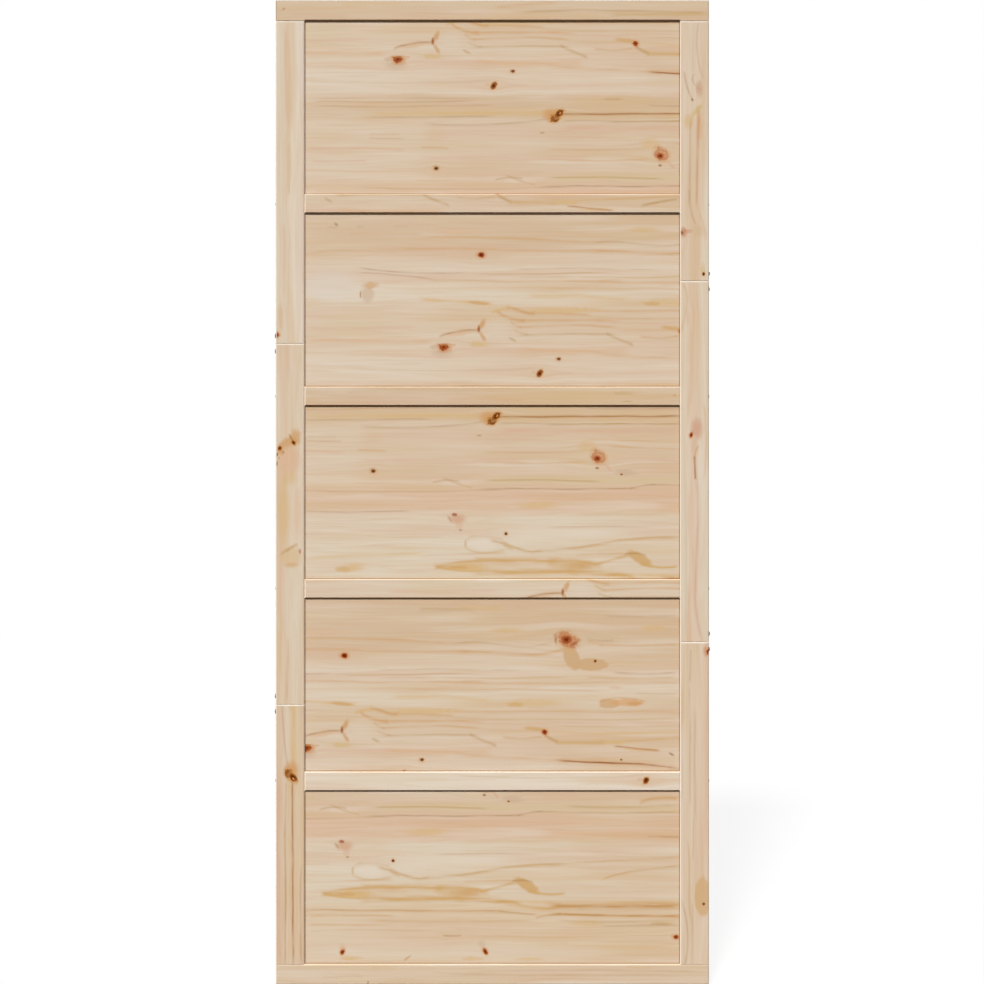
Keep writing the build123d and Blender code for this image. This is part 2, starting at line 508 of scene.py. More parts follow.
def blot(at, long, wide, tilt=0.0, tint=HONEY, strength=0.5, soft=0.7):
    """A soft patch. Tilt is in degrees, from along the grain."""
    uneven = min(RIM_UNEVEN_MOST, RIM_UNEVEN / wide)
    return {
        "kind": "blot",
        "box": box_round(at, max(long, wide)),
        "values": dict(
            **ellipse_values(at, long, wide, tilt), Uneven=uneven, Soft=soft, Tint=tint, Strength=strength,
        ),
    }


RED_KNOT = dict(
    Halo=srgb(206, 146, 94), Halo_Strength=0.85, Halo_Reach=2.1,
    Body=srgb(160, 72, 22), Body_Strength=0.95,
    Heart=srgb(98, 24, 0), Heart_Size=0.4, Mottle=0.75, Rim=0.0,
)
BROWN_KNOT = dict(
    Halo=srgb(204, 150, 86), Halo_Strength=0.8, Halo_Reach=1.8,
    Body=srgb(156, 86, 20), Body_Strength=0.95,
    Heart=srgb(80, 26, 0), Heart_Size=0.5, Mottle=1.0, Rim=0.25,
)
PINK_KNOT = dict(
    Halo=srgb(208, 160, 112), Halo_Strength=0.7, Halo_Reach=1.7,
    Body=srgb(206, 148, 104), Body_Strength=0.7,
    Heart=srgb(150, 76, 38), Heart_Size=0.0, Mottle=0.6, Rim=0.6,
)
EMBER_KNOT = dict(
    Halo=srgb(192, 112, 66), Halo_Strength=0.7, Halo_Reach=1.7,
    Body=srgb(166, 82, 40), Body_Strength=0.85,
    Heart=srgb(98, 26, 0), Heart_Size=0.45, Mottle=0.85, Rim=0.0,
)
PIN_KNOT = dict(
    Halo=srgb(206, 158, 112), Halo_Strength=0.75, Halo_Reach=2.3,
    Body=srgb(136, 82, 40), Body_Strength=0.92,
    Heart=srgb(66, 26, 4), Heart_Size=0.5, Mottle=0.4, Rim=0.0,
)
FAINT_KNOT = dict(
    Halo=srgb(212, 168, 138), Halo_Strength=0.5, Halo_Reach=1.8,
    Body=srgb(170, 100, 74), Body_Strength=0.8,
    Heart=srgb(128, 64, 46), Heart_Size=0.4, Mottle=0.3, Rim=0.0,
)


def knot(at, long, wide, look, tilt=0.0, bend=True):
    """A knot. The grain is drawn aside round it, unless a larger one beside it does that."""
    reach = 1.6 * long + 12
    breadth = 0.9 * wide + 6
    return {
        "kind": "knot",
        "box": box_round(at, max(long, wide) * look["Halo_Reach"]),
        "bend": dict(Middle=at[0], Level=at[1], Reach=reach, Breadth=breadth) if bend else None,
        "values": dict(**ellipse_values(at, long, wide, tilt), **look),
    }


# The sheet of glued-up pine that the panels and some of the frame are cut from, seen on its face.
# (0, 0) is the middle of the top panel.
sheet_marks = [
    # Broad zones of tone
    blot((-430, 228), 140, 84, tint=ASH, strength=0.4, soft=0.45),
    blot((-335, 333), 320, 76, tint=WHEAT, strength=0.5, soft=0.6),
    blot((-372, 157), 240, 64, tint=STRAW, strength=0.4, soft=0.7),
    blot((250, 12), 290, 36, tint=HONEY, strength=0.3, soft=0.6),
    blot((20, -58), 300, 120, tint=SHELL, strength=0.3, soft=0.9),
    blot((250, -258), 460, 60, tint=PALE, strength=0.4, soft=0.8),
    line((120, -146), (420, -146), (750, -147), above=9, below=9, tint=STRAW, strength=0.8),
    # The board along the top
    line((40, 389), (95, 390), (151, 388), above=3, strength=0.5),
    line((120, 394), (160, 392), (206, 393), above=4, tint=HONEY, strength=0.6),
    line((430, 375), (500, 374), (572, 376), above=2, tint=DUN, strength=0.3),
    line((-476, 300), (-330, 304), (-192, 307), (-105, 307), above=3, below=5, tint=AMBER, strength=0.45),
    line((-105, 307), (-50, 303), (40, 302), (151, 300), above=2.5, below=4, tint=AMBER, strength=0.4),
    line((120, 301), (245, 296), (300, 299), (348, 311), above=3, below=4, tint=AMBER, strength=0.7),
    blot((-420, 356), 14, 9, tilt=-40, tint=DUN, strength=0.7),
    blot((-427, 350), 44, 8, tint=LILAC, strength=0.35),
    blot((-370, 352), 26, 9, tint=LILAC, strength=0.35),
    blot((-287, 352), 44, 8, tint=LILAC, strength=0.25),
    blot((-175, 342), 170, 22, tint=PEACH, strength=0.5, soft=0.8),
    line((-389, 337), (-320, 338), (-250, 336), above=2.5, tint=AMBER, strength=0.35),
    line((-247, 329), (-95, 329), (40, 323), (151, 319), above=2.2, tint=AMBER, strength=0.45),
    line((120, 319), (200, 316), (260, 313), (305, 318), above=2, strength=0.45),
    blot((217, 345), 90, 15, tint=HONEY, strength=0.55),
    blot((522, 350), 64, 18, tint=HONEY, strength=0.55),
    line((388, 324), (404, 319), (420, 316), above=2, tint=AMBER, strength=0.5),
    line((415, 316), (490, 315), (572, 316), above=2, tint=AMBER, strength=0.5),
    line((385, 330), (410, 324), (440, 325), above=2, tint=DUN, strength=0.3),
    line((-365, 266), (-285, 257), (-160, 254), above=1.4, below=2, tint=UMBER, strength=0.42),
    line((-368, 256), (-306, 253), (-216, 241), above=1.4, below=2, tint=UMBER, strength=0.36),
    line((-160, 254), (0, 253), (151, 255), above=1.3, strength=0.45),
    line((-216, 241), (-60, 238), (151, 239), above=1.8, tint=AMBER, strength=0.5),
    line((-43, 263), (60, 264), (240, 262), above=1.4, strength=0.4),
    line((-40, 247), (130, 246), (330, 248), above=1.5, tint=LATEWOOD, strength=0.5),
    line((120, 236), (330, 236), (566, 237), above=2.6, tint=AMBER, strength=0.4),
    line((445, 258), (497, 256), (566, 257), above=1.6, tint=UMBER, strength=0.42),
    line((390, 247), (470, 246), (566, 248), above=2.2, tint=LATEWOOD, strength=0.5),
    line((19, 224), (199, 223), (407, 220), above=1.8, tint=LATEWOOD, strength=0.45),
    blot((446, 226), 38, 10, tint=BLUSH, strength=0.45),
    line((490, 214), (530, 213), (572, 214), above=1.8, tint=OLIVE, strength=0.3),
    line((-240, 200), (-165, 195), (-97, 191), above=4, below=3.5, tint=HONEY, strength=0.8),
    blot((-122, 192.5), 56, 9, tilt=-5, tint=AMBER, strength=0.55, soft=0.5),
    line((-15, 208), (90, 205), (180, 200), above=5, below=5, tint=HONEY, strength=0.55),
    blot((275, 193), 190, 26, tint=HONEY, strength=0.55, soft=0.8),
    blot((234, 191), 50, 14, tint=OCHRE, strength=0.6),
    blot((432, 193), 50, 24, tint=TRAIL, strength=0.92, soft=0.3),
    blot((468, 195), 86, 19, tint=srgb(214, 164, 112), strength=0.75, soft=0.4),
    blot((484, 193), 46, 12, tint=AMBER, strength=0.7),
    line((412, 197), (442, 205), (474, 204), (504, 198), above=1.3, below=2, tint=AMBER, strength=0.6),
    line((-477, 140), (-370, 140), (-262, 141), above=4, below=4, tint=BLUSH, strength=0.45),
    line((-477, 114), (-350, 114), (-228, 113), above=5, below=4.5, tint=PEACH, strength=0.7),
    blot((45, 177), 215, 16, tint=HONEY, strength=0.65, soft=0.6),
    line((-96, 174), (-80, 179), (-62, 182), above=3.5, below=4, tint=HONEY, strength=0.9),
    line((-64, 183), (-45, 179), (-26, 173), (-8, 172), above=2.8, below=3.6, tint=AMBER, strength=0.8),
    line((-10, 172), (40, 170), (104, 169), above=2.6, below=3.6, tint=AMBER, strength=0.55),
    line((-85, 175), (-66, 164), (-47, 158.5), (-28, 157), above=3, below=4, tint=AMBER, strength=0.7),
    line((-32, 157), (60, 157.5), (165, 156), above=2.6, below=3.6, tint=AMBER, strength=0.55),
    line((-57, 154), (-46, 147), (-34, 143.5), above=1.8, below=3, tint=AMBER, strength=0.45),
    line((-38, 143.5), (50, 146), (155, 143), above=2, below=3, tint=AMBER, strength=0.5),
    line((-50, 136), (-36, 131), (-22, 128), above=2, below=3, strength=0.4),
    line((-34, 127), (60, 129), (155, 127), above=2, below=3, strength=0.5),
    line((120, 176), (340, 177), (566, 176), above=2.4, below=3, tint=AMBER, strength=0.5),
    line((120, 163), (340, 160), (566, 162), above=1.6, tint=LATEWOOD, strength=0.5),
    line((120, 153), (340, 152), (566, 154), above=2, tint=BLUSH, strength=0.5),
    line((330, 146), (450, 145), (566, 147), above=1.6, tint=LATEWOOD, strength=0.4),
    blot((-165, 128), 66, 12, tilt=8, tint=PEACH, strength=0.55),
    line((-203, 124), (-180, 131), (-155, 135), (-126, 136), above=3.5, below=4, tint=AMBER, strength=0.5),
    line((-203, 124), (-180, 131), (-155, 135), (-126, 136), above=1.6, below=2, tint=UMBER, strength=0.6),
    blot((-84, 141), 66, 50, tint=PEARL, strength=0.28, soft=0.75),
    blot((-116, 150), 38, 15, tilt=66, tint=AMBER, strength=0.75, soft=0.8),
    blot((-117, 124), 34, 13, tilt=-58, tint=AMBER, strength=0.7, soft=0.8),
    blot((-124, 138), 10, 21, tint=srgb(160, 92, 40), strength=0.95, soft=0.8),
    blot((-123, 107), 60, 17, tint=HONEY, strength=0.6),
    blot((276, 140), 56, 13, tilt=-5, tint=OCHRE, strength=0.7),
    line((296, 137), (330, 134), (442, 132), (574, 133), above=2, tint=HONEY, strength=0.7),
    blot((-54, 117), 28, 9, tilt=-28, tint=OLIVE, strength=0.45),
    line((143, 128), (168, 116), (196, 105), above=3, below=3.4, tint=OLIVE, strength=0.75),
    line((214, 123), (250, 120), (292, 125), above=2, below=3, tint=TRAIL, strength=0.8),
    line((298, 127), (311, 120), (326, 113), above=3, below=3.5, tint=OLIVE, strength=0.75),
    line((322, 113), (370, 112), (420, 113), above=4, below=4.5, tint=OCHRE, strength=0.8),
    line((410, 113), (540, 119), (680, 126), above=5, below=4, tint=OCHRE, strength=0.6),
    blot((442, 112), 66, 13, tint=HONEY, strength=0.7),
    line((598, 105), (632, 112), (670, 119), above=2.4, below=3, tint=OLIVE, strength=0.9),
    line((-181, 97), (-90, 97), (0, 95), above=4, below=4, tint=BLUSH, strength=0.45),
    line((-30, 96), (60, 93), (180, 92), above=7, below=6, tint=PEACH, strength=0.75),
    line((120, 87), (230, 80), (345, 74), above=3, tint=AMBER, strength=0.4),
    line((335, 74), (430, 71), (570, 61), above=6, below=6, tint=AMBER, strength=0.6),
    line((335, 74), (407, 70), (504, 67), (570, 60), above=1.6, below=1.8, tint=RUST, strength=1.0),
    blot((500, 97), 110, 13, tint=HONEY, strength=0.5),
    line((445, 104), (480, 100), (534, 95), above=1.6, below=2.4, tint=srgb(184, 124, 72), strength=0.85),
    blot((561, 88), 18, 7, tilt=-30, tint=RUST, strength=0.6),
    line((-380, 56), (-200, 52), (0, 58), above=1.6, strength=0.25),
    # The second board
    line((-362, 21), (-202, 20), (-40, 21), above=1.2, strength=0.4),
    line((-362, 14), (-202, 12), (-50, 15), above=1.3, strength=0.5),
    line((-362, 4), (-202, 3), (-8, 6), above=1.3, strength=0.5),
    line((-250, -12), (-60, -12), (150, -10), above=7, below=6, tint=HONEY, strength=0.6),
    line((-110, -12), (20, -12), (132, -10), above=5, below=5, tint=HONEY, strength=0.5),
    line((-250, -19), (-130, -19), (-8, -18), above=1.5, tint=UMBER, strength=0.34),
    line((-133, -32), (-8, -35), (75, -28), (118, -22), above=1.6, tint=DUN, strength=0.4),
    line((-254, -54), (-195, -55), above=2, below=2, strength=0.45),
    line((-254, -63), (-185, -64), above=2, below=2, strength=0.4),
    blot((-121, -55), 66, 60, tint=PEACH, strength=0.25, soft=0.9),
    line((-147, -82), (-120, -82), (-92, -83), above=2, tint=AMBER, strength=0.35),
    line((-379, -85), (-280, -84), (-188, -86), above=1.8, tint=BLUSH, strength=0.8),
    line((-372, -110), (-315, -110), (-264, -110), above=2.2, tint=BLUSH, strength=0.55),
    line((-147, -103), (20, -103), (190, -104), above=5, below=5, tint=BLUSH, strength=0.55),
    line((120, -108), (220, -109), (318, -107), above=1.6, tint=AMBER, strength=0.5),
    line((140, -6), (320, -6), (518, -5), above=4, below=4, tint=HONEY, strength=0.4),
    line((140, -20), (320, -20), (518, -19), above=4, below=5, tint=HONEY, strength=0.5),
    line((330, 5), (420, 4), (518, 5), above=1.6, below=2.2, tint=UMBER, strength=0.35),
    line((150, -42), (330, -43), (518, -42), above=7, below=8, tint=BLUSH, strength=0.7),
    line((138, -12), (320, -13), (518, -11), above=3.2, below=3.6, tint=RESIN, strength=0.5),
    line((138, -12), (320, -13), (518, -11), above=1.4, below=1.8, tint=UMBER, strength=0.8),
    line((150, -26), (260, -28), above=1.5, tint=DUN, strength=0.35),
    line((255, -28), (380, -28), (518, -28), above=1.4, below=2, tint=OLIVE, strength=0.85),
    blot((252, 18), 60, 8, tint=OLIVE, strength=0.45),
    line((120, -62), (230, -62), (335, -70), above=2, tint=BLUSH, strength=0.5),
    line((120, -86), (220, -87), (310, -84), above=1.6, tint=LATEWOOD, strength=0.5),
    line((331, -58), (430, -63), (515, -65), above=1.6, tint=AMBER, strength=0.45),
    line((380, -75), (450, -78), (515, -80), above=1.6, tint=AMBER, strength=0.4),
    line((385, -100), (450, -101), (518, -103), above=1.8, tint=BLUSH, strength=0.6),
    line((120, -146), (230, -145), (348, -147), above=1.3, strength=0.6),
    line((120, -163), (280, -163), (420, -162), above=1.3, tint=DUN, strength=0.7),
    line((418, -162), (440, -157), (470, -154), above=1.3, tint=DUN, strength=0.7),
    line((465, -154), (600, -156), (748, -155), above=1.4, strength=0.65),
    line((530, -143), (640, -145), (748, -141), above=2, strength=0.5),
    line((674, -134), (705, -127), (750, -128), above=4, below=4, tint=AMBER, strength=0.7),
    line((8, -150), (35, -145), (62, -147), above=1.6, below=2, strength=0.55),
    line((28, -140), (58, -151), (88, -160), above=1.4, below=2, strength=0.45),
    line((-258, -166), (-50, -168), (130, -164), above=1.4, strength=0.35),
    line((-15, -182), (200, -186), (400, -182), above=2, tint=PEACH, strength=0.4),
    blot((227, -197), 130, 21, tint=HONEY, strength=0.65, soft=0.7),
    line((480, -201), (610, -201), (752, -204), above=9, below=8, tint=PEACH, strength=0.7),
    line((690, -206), (752, -206), above=1.5, tint=UMBER, strength=0.45),
    line((-254, -210), (-150, -211), (-50, -210), above=1.4, below=2, tint=DUN, strength=0.55),
    # The cream board with the long flame
    line((-160, -228), (-60, -226), (20, -229), above=1.5, tint=LATEWOOD, strength=0.3),
    line((-130, -260), (-40, -264), (20, -262), above=1.5, tint=LATEWOOD, strength=0.35),
    line((258, -242), (350, -241), (452, -243), above=1.4, tint=DUN, strength=0.25),
    blot((112, -278), 80, 33, tint=PALE, strength=0.45, soft=0.6),
    line((75, -271), (83, -263.5), (93, -261), above=2.2, below=3, tint=LATEWOOD, strength=0.45),
    line((90, -261), (120, -261.5), (152, -268), above=2.2, below=3, tint=LATEWOOD, strength=0.45),
    blot((75, -277), 7, 26, tint=LATEWOOD, strength=0.55),
    line((77, -286), (100, -295), (126, -296), (155, -291),
         above=2.2, below=3, tint=LATEWOOD, strength=0.5),
    blot((162, -281), 40, 16, tilt=-25, tint=LATEWOOD, strength=0.6),
    line((130, -270), (160, -279), (188, -289), (232, -290),
         above=2.4, below=3.4, tint=LATEWOOD, strength=0.85),
    line((225, -290), (290, -286), (383, -273), (500, -264),
         above=2.4, below=3.6, tint=LATEWOOD, strength=0.85),
    line((490, -265), (620, -256), (750, -249), above=2, below=3, tint=LATEWOOD, strength=0.7),
    line((598, -294), (646, -280), (690, -274), (750, -267), above=2, below=3, tint=LATEWOOD, strength=0.8),
    line((-250, -306), (-133, -299), (-15, -297), above=3, tint=HONEY, strength=0.6),
    line((-10, -299), (80, -298), (155, -297), above=2, tint=AMBER, strength=0.4),
    line((310, -298), (370, -297), (420, -297), above=2, tint=AMBER, strength=0.5),
    blot((-162, -327), 84, 27, tilt=6, tint=HONEY, strength=0.75, soft=0.9),
    blot((-180, -330), 44, 18, tint=OCHRE, strength=0.5),
    line((14, -325), (60, -317), (106, -312), above=2.8, below=5, tint=OCHRE, strength=0.9),
    line((100, -312), (180, -311), (265, -312), above=6, below=7.5, tint=OCHRE, strength=0.9),
    line((14, -326), (60, -333), (106, -337), above=5, below=2.8, tint=OCHRE, strength=0.9),
    line((100, -337), (200, -337), (300, -336), above=8, below=5.5, tint=OCHRE, strength=0.95),
    blot((75, -326), 105, 22, tint=HONEY, strength=0.9, soft=0.6),
    blot((58, -326), 70, 11, tint=AMBER, strength=0.5),
    blot((300, -323), 140, 30, tint=OCHRE, strength=0.75, soft=0.9),
    blot((318, -324), 72, 24, tint=AMBER, strength=0.4, soft=0.9),
    line((250, -312), (310, -314), (356, -323), above=5, below=6.5, tint=OCHRE, strength=0.85),
    line((290, -336), (360, -337), (424, -346), above=5, below=5, tint=OCHRE, strength=0.95),
    line((296, -338), (350, -341), (404, -346), above=3, below=4, tint=OCHRE, strength=0.6),
    line((342, -321), (378, -310), (414, -298), above=2.6, below=4, tint=OCHRE, strength=0.75),
    blot((438, -308), 76, 26, tilt=-32, tint=OCHRE, strength=0.85, soft=0.5),
    line((408, -297), (430, -296), (450, -299), above=1.6, below=2.4, tint=UMBER, strength=0.4),
    line((440, -317), (475, -326), (514, -325), above=3, below=3, tint=OCHRE, strength=0.9),
    # The board along the bottom
    line((425, -343), (590, -344), (752, -345), above=5, below=5, tint=HONEY, strength=0.65),
    line((376, -340), (430, -349), (470, -355), (504, -350), above=3.4, below=4, tint=OCHRE, strength=0.95),
    line((492, -350), (549, -352), (650, -351), (752, -352),
         above=5.4, below=5.6, tint=RESIN, strength=0.82),
    blot((70, -405), 300, 110, tint=SHELL, strength=0.4, soft=0.7),
    blot((330, -446), 760, 62, tint=CREAM, strength=0.5, soft=0.8),
    line((-18, -358), (199, -360), (390, -361), above=2, below=3, tint=RESIN, strength=0.6),
    line((380, -361), (420, -366), (455, -368), above=1.5, tint=OLIVE, strength=0.65),
    line((458, -373), (482, -369), (508, -367), above=1.8, below=2.4, tint=RESIN, strength=0.8),
    line((502, -367), (600, -370), (752, -371), above=2.2, below=2.6, tint=RESIN, strength=0.9),
    line((-5, -370), (80, -370), (155, -371), above=1.8, tint=AMBER, strength=0.5),
    line((-12, -388), (70, -390), (155, -388), above=1.8, tint=AMBER, strength=0.4),
    line((120, -381), (280, -383), (440, -381), above=2.5, tint=LATEWOOD, strength=0.5),
    line((-12, -402), (120, -400), (250, -402), above=1.6, tint=LATEWOOD, strength=0.4),
    blot((560, -386), 100, 20, tint=HONEY, strength=0.5),
    line((508, -381), (620, -383), (748, -382), above=2, strength=0.4),
    line((600, -392), (690, -391), (748, -390), above=1.5, tint=DUN, strength=0.45),
    blot((718, -388), 64, 11, tint=OLIVE, strength=0.55),
    line((264, -412), (282, -413), (300, -412), above=1.6, below=1.6, strength=0.75),
    line((330, -412), (520, -414), (748, -411), above=2, tint=LATEWOOD, strength=0.4),
    line((470, -432), (600, -434), (748, -431), above=3, tint=HONEY, strength=0.4),
    blot((71, -459), 66, 13, tint=HONEY, strength=0.65),
    blot((189, -459), 26, 8, tilt=35, tint=OLIVE, strength=0.55),
    blot((325, -460), 62, 14, tint=HONEY, strength=0.55),
    blot((440, -461), 84, 11, tint=HONEY, strength=0.5),
    # Knots
    blot((-217, 100), 24, 16, tint=FAWN, strength=0.7),
    blot((-200, 88), 64, 24, tint=FAWN, strength=0.65),
    knot((-196, 101), 22, 15, RED_KNOT),
    blot((-196, 113), 50, 11, tint=TAN, strength=0.9, soft=0.3),
    line((-203, 107), (-188, 107), (-172, 106.5), above=1.2, below=1.6, tint=AMBER, strength=0.7),
    knot((43, 76), 8, 7, PIN_KNOT),
    blot((-10, 48), 16, 12, tint=PEACH, strength=0.6),
    knot((3, 46), 15, 11, BROWN_KNOT, tilt=60),
    blot((124, -15), 54, 42, tint=srgb(206, 150, 96), strength=0.7),
    knot((130, -21), 21, 16, BROWN_KNOT, tilt=25),
    knot((138.5, -12), 22, 13, BROWN_KNOT, tilt=35, bend=False),
    blot((141, -11), 9, 4, tilt=40, tint=srgb(222, 156, 84), strength=0.9, soft=0.6),
    blot((124, -17), 7, 4, tilt=40, tint=srgb(206, 140, 66), strength=0.6),
    blot((104, -52), 15, 6, tint=DUN, strength=0.6),
    knot((-117, -126), 11, 8, PIN_KNOT),
    blot((328, -74), 52, 34, tint=HONEY, strength=0.45),
    blot((353, -98), 52, 38, tilt=-42, tint=srgb(208, 158, 118), strength=0.4, soft=0.9),
    knot((352, -97), 30, 23, PINK_KNOT, tilt=-42),
    knot((350, -100), 14, 11, EMBER_KNOT, tilt=-30, bend=False),
    blot((373, -120), 32, 8, tilt=-50, tint=BLUSH, strength=0.7),
    blot((349, -119.5), 10, 7, tint=UMBER, strength=0.8),
    blot((408, -129), 60, 20, tint=FAWN, strength=0.7),
    knot((399, -133), 5, 4, PIN_KNOT, bend=False),
    blot((354, 289), 64, 36, tilt=-68, tint=TRAIL, strength=0.95, soft=0.25),
    blot((392, 274), 84, 29, tint=TRAIL, strength=0.95, soft=0.25),
    line((316, 335), (330, 340), (348, 341), above=2.4, below=3.2, tint=srgb(182, 108, 66), strength=0.75),
    knot((346, 325), 42, 29, PINK_KNOT, tilt=-22),
    blot((321, 327), 9, 28, tint=srgb(164, 94, 54), strength=0.7, soft=0.9),
    blot((358, 317), 26, 10, tilt=30, tint=srgb(158, 80, 44), strength=0.7, soft=0.8),
    knot((343, 326), 22, 17, EMBER_KNOT, tilt=-10, bend=False),
    knot((403, 281), 6, 6, PIN_KNOT, bend=False),
    knot((-119, 293), 14, 10, RED_KNOT),
    knot((298, 134), 11, 10, RED_KNOT),
    blot((-355, 210), 38, 46, tint=FAWN, strength=0.6, soft=0.6),
    blot((-349, 229), 42, 19, tint=srgb(208, 170, 126), strength=0.8, soft=0.7),
    blot((-370, 210), 5, 22, tint=UMBER, strength=0.6),
    blot((58, -226), 48, 30, tint=srgb(208, 165, 134), strength=0.85, soft=0.7),
    blot((63, -239), 24, 20, tint=BLUSH, strength=0.5),
    blot((42, -225), 30, 5, tilt=-58, tint=DUN, strength=0.5),
    knot((53, -217), 12, 8, FAINT_KNOT),
    blot((64.5, -249), 10, 6, tint=DUN, strength=0.65),
    knot((159, -256), 6, 6, PIN_KNOT),
    blot((54, -440), 18, 30, tint=PEACH, strength=0.6),
    knot((54, -446), 10, 8, RED_KNOT, tilt=60),
    blot((344, -430), 22, 22, tint=FAWN, strength=0.5),
    knot((351, -445), 13, 8, RED_KNOT, tilt=-55),
    knot((747, -415), 11, 8, RED_KNOT),
    knot((457, 76), 4, 4, PIN_KNOT, bend=False),
]

# Tone across the sheet, board by board, from its lower edge up, and along it from left to right
sheet_tone = [
    (-470, SHELL), (-400, BISCUIT), (-352, BISCUIT), (-342, CREAM), (-225, CREAM), (-205, ROSE),
    (-170, ROSE), (-120, TAN), (-35, TAN), (-14, WHEAT), (22, WHEAT), (30, SHELL), (80, SHELL),
    (108, TAN), (170, TAN), (215, CREAM), (255, SHELL), (285, TAN), (320, WHEAT), (402, WHEAT),
]
sheet_paler_end = (-420, 60)
sheet_darker_end = (150, 760)


class Board:
    """How one board is cut: its grain's axis, its place in the figure, its tone, marks and arrises."""

    def __init__(self, grain, shift, seed=0.0, tone=sheet_tone, marks=(), upper=0.12, arris_shading=ARRIS_HIGHLIGHT):
        self.grain = grain
        self.shift = shift
        self.seed = seed
        self.tone = tone
        self.marks = list(marks)
        # how strongly arrises that face up take the painted light, and the colour of the painted light on
        # arrises
        self.upper = upper
        self.arris_shading = arris_shading


# Marks of the boards that are cut from elsewhere. On a stile the first number is the distance down from
# the leaf's top edge and the second is measured to the right of the stile's middle.
left_upper_marks = [
    line((62, -9), (250, -8), above=5, below=5, tint=BLUSH, strength=0.4),
    line((470, -13), (610, -12), above=4, below=5, tint=BLUSH, strength=0.45),
    line((300, -2), (400, -1), above=1.6, strength=0.35),
    blot((660, -20), 90, 16, tint=AMBER, strength=0.3),
    knot((696, -28), 11, 10, RED_KNOT),
]
left_upper_tone = [(-30, CREAM), (-3, SHELL), (4, MILK), (30, PEARL)]
left_middle_marks = [
    blot((908, 12), 48, 30, tint=srgb(206, 162, 112), strength=0.85),
    blot((920, -6), 56, 30, tilt=-52, tint=AMBER, strength=0.8),
    blot((956, -2), 96, 64, tint=srgb(217, 175, 140), strength=0.65, soft=0.6),
    blot((994, 0), 36, 50, tint=HONEY, strength=0.4),
    blot((1062, -13), 210, 32, tint=HONEY, strength=0.6),
    blot((1060, 14), 160, 20, tint=ROSE, strength=0.7),
    blot((1156, 2), 60, 60, tint=HONEY, strength=0.5, soft=0.6),
    blot((1140, -2), 60, 10, tilt=-58, tint=OLIVE, strength=0.55),
    blot((1173, 2), 16, 46, tint=AMBER, strength=0.42, soft=0.9),
    line((1310, -22), (1455, -22), above=5, below=5, tint=HONEY, strength=0.35),
    line((1330, -4), (1450, -6), above=2, tint=DUN, strength=0.25),
    blot((909, 2), 30, 6, tilt=34, tint=UMBER, strength=0.7),
    knot((919, 7), 11, 7, BROWN_KNOT, tilt=30),
    blot((934, -20), 34, 20, tint=AMBER, strength=0.65),
    blot((939, -14), 8, 5, tilt=30, tint=UMBER, strength=0.6),
    blot((951, -23), 7, 5, tint=UMBER, strength=0.55),
    knot((931, -21), 9, 8, BROWN_KNOT, tilt=-40),
    knot((944, -28), 7, 5, BROWN_KNOT, bend=False),
    knot((963, -28.5), 9, 5, BROWN_KNOT, bend=False),
    blot((1145, 20), 15, 8, tint=srgb(186, 116, 90), strength=0.7),
]
left_middle_tone = [(-30, SHELL), (-10, SHELL), (10, CREAM), (30, SHELL)]
left_lower_tone = [(-50, ROSE), (-36, TAN), (-14, SHELL), (14, TAN)]
right_upper_marks = [
    line((48, 7), (127, 8), (159, 16), above=1.8, below=2.2, tint=DUN, strength=0.32),
    line((52, -3), (148, -3), above=1.8, below=2.2, tint=DUN, strength=0.22),
    line((154, -1), (178, 3), (186, 13), above=2, below=2.4, tint=DUN, strength=0.45),
    line((150, -21), (170, -18), (190, -12), (209, -3), above=2, below=2.6, tint=DUN, strength=0.5),
    blot((207, -5), 11, 6, tilt=30, tint=UMBER, strength=0.8),
    blot((184, 10), 46, 20, tint=srgb(196, 150, 118), strength=0.6),
    blot((228, 6), 48, 14, tilt=-38, tint=srgb(207, 178, 112), strength=0.65),
    blot((252, -12), 44, 30, tint=HONEY, strength=0.6),
    blot((266, 11), 80, 18, tint=PEACH, strength=0.65),
    line((230, 9), (330, 6), (420, 5), above=3, below=3.4, tint=srgb(196, 140, 92), strength=0.65),
    line((250, -9), (330, -10), (420, -11), above=2, below=2.4, tint=UMBER, strength=0.32),
    line((395, -11), (430, -9), (464, 1), above=2, below=2.4, tint=UMBER, strength=0.34),
    line((395, 5), (432, 7), (465, 19), (497, 24), above=2, below=3, tint=AMBER, strength=0.32),
    blot((479, 9), 38, 46, tint=srgb(206, 176, 136), strength=0.5, soft=0.9),
    blot((480, -14), 12, 30, tint=srgb(196, 140, 104), strength=0.5),
    blot((483, -24), 30, 20, tint=srgb(192, 126, 86), strength=0.75),
    knot((484, -26), 10, 7, FAINT_KNOT),
    blot((562, 17), 40, 16, tint=HONEY, strength=0.55),
    knot((569, 18.5), 7, 5.5, BROWN_KNOT),
]
right_upper_tone = [(-30, SHELL), (-15, SHELL), (0, SHELL), (15, SHELL), (30, CREAM)]
